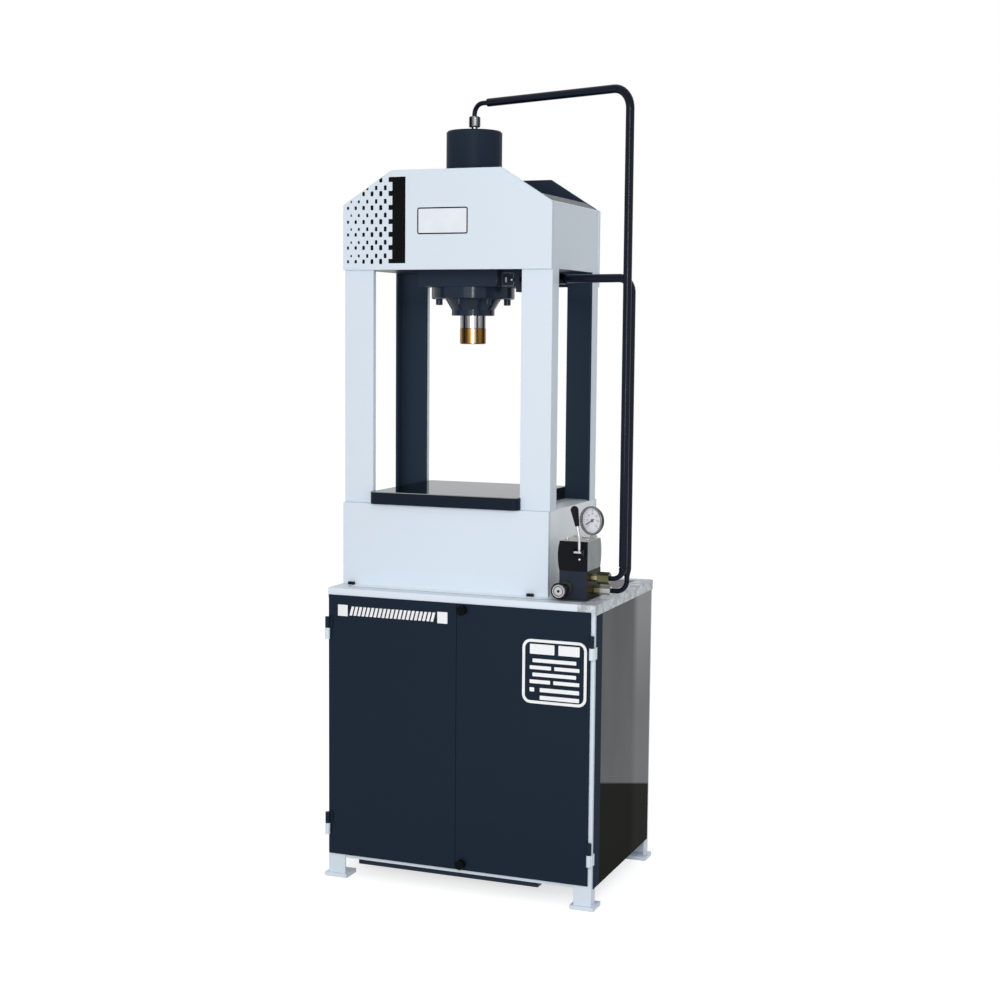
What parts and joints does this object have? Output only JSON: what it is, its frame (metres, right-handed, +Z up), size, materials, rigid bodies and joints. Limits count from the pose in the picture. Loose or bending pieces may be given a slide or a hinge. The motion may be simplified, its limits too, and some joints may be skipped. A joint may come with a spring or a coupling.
{
  "type": "hydraulic press",
  "caption": "Upright hydraulic shop press with a down-stroking ram between plate uprights, standing on a two-door cabinet that holds the power pack; hand lever valve and gauge at the side.",
  "frame": {"origin": "on the floor, at the middle of the machine's overall outline", "axes": "+Z up, +X to the right seen from the doors, +Y to the back"},
  "size_m": [0.7548, 0.4942, 1.9482],
  "materials": {
    "cabinet_paint": "satin enamel, pale blue-white",
    "frame_paint": "satin enamel, pale blue-white, dark inside",
    "deck_paint": "satin enamel",
    "panel_paint": "gloss enamel, blue-black",
    "door_paint": "semi-gloss enamel, blue-black",
    "tank_paint": "semi-gloss enamel, blue-black",
    "catch_plastic": "black",
    "motor_paint": "satin enamel, grey-blue",
    "bell_metal": "as cast",
    "shaft_steel": "ground",
    "pump_metal": "as cast and machined",
    "filler_chrome": "polished",
    "pipe_steel": "drawn tube",
    "bolt_black": "black oxide",
    "table_paint": "blue-black sides, ground top",
    "crosshead_paint": "blue-black enamel",
    "cylinder_paint": "blue-black gloss enamel",
    "gland_paint": "blue-black gloss enamel",
    "port_paint": "blue-black enamel",
    "ram_chrome": "hard chrome",
    "nose_brass": "turned",
    "fitting_chrome": "plated",
    "sleeve_rubber": "smooth black",
    "fitting_brass": "yellow zinc and brass",
    "manifold_black": "black",
    "valve_black": "black",
    "lever_steel": "turned",
    "grip_plastic": "black",
    "relief_chrome": "plated",
    "knob_chrome": "knurled and plated",
    "gauge_steel": "polished case with a white dial",
    "needle_black": "black",
    "gauge_glass": "clear"
  },
  "bodies": {
    "press": {"front_left_leg": "cabinet_paint", "front_left_upright": "frame_paint", "front_right_leg": "cabinet_paint", "front_right_upright": "frame_paint", "head_front_plate": "frame_paint", "rear_left_leg": "cabinet_paint", "rear_left_upright": "frame_paint", "rear_right_leg": "cabinet_paint", "rear_right_upright": "frame_paint", "head_rear_plate": "frame_paint", "top_rim": "cabinet_paint", "top_front_rail": "cabinet_paint", "bottom_rim": "cabinet_paint", "deck_plate": "deck_paint", "left_side_panel": "panel_paint", "right_side_panel": "panel_paint", "back_panel": "panel_paint", "drip_tray": "tank_paint", "head_left_cheek": "frame_paint", "head_right_cheek": "frame_paint", "oil_tank": "tank_paint", "tank_lid": "tank_paint", "electric_motor": "motor_paint", "bellhousing": "bell_metal", "gear_pump": "pump_metal", "filler_breather": "filler_chrome", "pressure_pipe": "pipe_steel", "return_pipe": "pipe_steel", "base_front_plate": "frame_paint", "base_rear_plate": "frame_paint", "base_shell": "frame_paint", "base_bolts": "bolt_black", "table": "table_paint", "crosshead_plate": "crosshead_paint", "cylinder_barrel": "cylinder_paint", "cylinder_flange": "cylinder_paint", "flange_screws": "bolt_black", "gland": "gland_paint", "port_block": "port_paint", "top_fitting": "fitting_chrome", "top_pipe": "pipe_steel", "side_pipe": "pipe_steel", "pipe_sleeves": "sleeve_rubber", "pipe_fittings": "fitting_brass", "manifold_block": "manifold_black", "valve_body": "valve_black", "relief_valve": "relief_chrome", "gauge_case": "gauge_steel", "gauge_lens": "gauge_glass"},
    "left_door": {"left_door": "door_paint"},
    "right_door": {"right_door": "door_paint"},
    "lower_catch": {"lower_door_catch": "catch_plastic"},
    "upper_catch": {"upper_door_catch": "catch_plastic"},
    "ram": {"ram": "ram_chrome", "ram_nose": "nose_brass"},
    "drive_shaft": {"drive_shaft": "shaft_steel"},
    "lever": {"lever": "lever_steel", "lever_grip": "grip_plastic"},
    "relief_knob": {"relief_knob": "knob_chrome"},
    "gauge_needle": {"gauge_needle": "needle_black"}
  },
  "joints": [
    {"name": "ram_slide", "type": "slide", "parent": "press", "child": "ram", "axis": [0, 0, -1], "range_m": [0, 0.29]},
    {"name": "left_door_hinge", "type": "hinge", "parent": "press", "child": "left_door", "pos_m": [-0.3683, -0.24085, 0.386], "axis": [0, 0, -1], "range_deg": [0, 110]},
    {"name": "right_door_hinge", "type": "hinge", "parent": "press", "child": "right_door", "pos_m": [0.3237, -0.24085, 0.386], "axis": [0, 0, 1], "range_deg": [0, 110]},
    {"name": "lower_catch_turn", "type": "hinge", "parent": "right_door", "child": "lower_catch", "pos_m": [-0.0068, -0.23255, 0.074], "axis": [0, 1, 0], "range_deg": [0, 90]},
    {"name": "upper_catch_turn", "type": "hinge", "parent": "right_door", "child": "upper_catch", "pos_m": [-0.0068, -0.23255, 0.7025], "axis": [0, -1, 0], "range_deg": [0, 90]},
    {"name": "drive_shaft_spin", "type": "hinge", "parent": "press", "child": "drive_shaft", "pos_m": [-0.1408, 0.00745, 0.28], "axis": [0, 0, 1], "continuous": true},
    {"name": "lever_tilt", "type": "hinge", "parent": "press", "child": "lever", "pos_m": [0.2722, -0.18755, 0.852], "axis": [1, 0, 0], "range_deg": [-10, 10], "stiffness_Nm_per_rad": 1.5},
    {"name": "relief_knob_turn", "type": "hinge", "parent": "press", "child": "relief_knob", "pos_m": [0.2332, -0.21255, 0.762], "axis": [0, -1, 0], "range_deg": [-180, 180]},
    {"name": "gauge_needle_turn", "type": "hinge", "parent": "press", "child": "gauge_needle", "pos_m": [0.27791, -0.11134, 0.9213], "axis": [0.3746, 0.9272, 0], "range_deg": [0, 270], "stiffness_Nm_per_rad": 0.004}
  ]
}
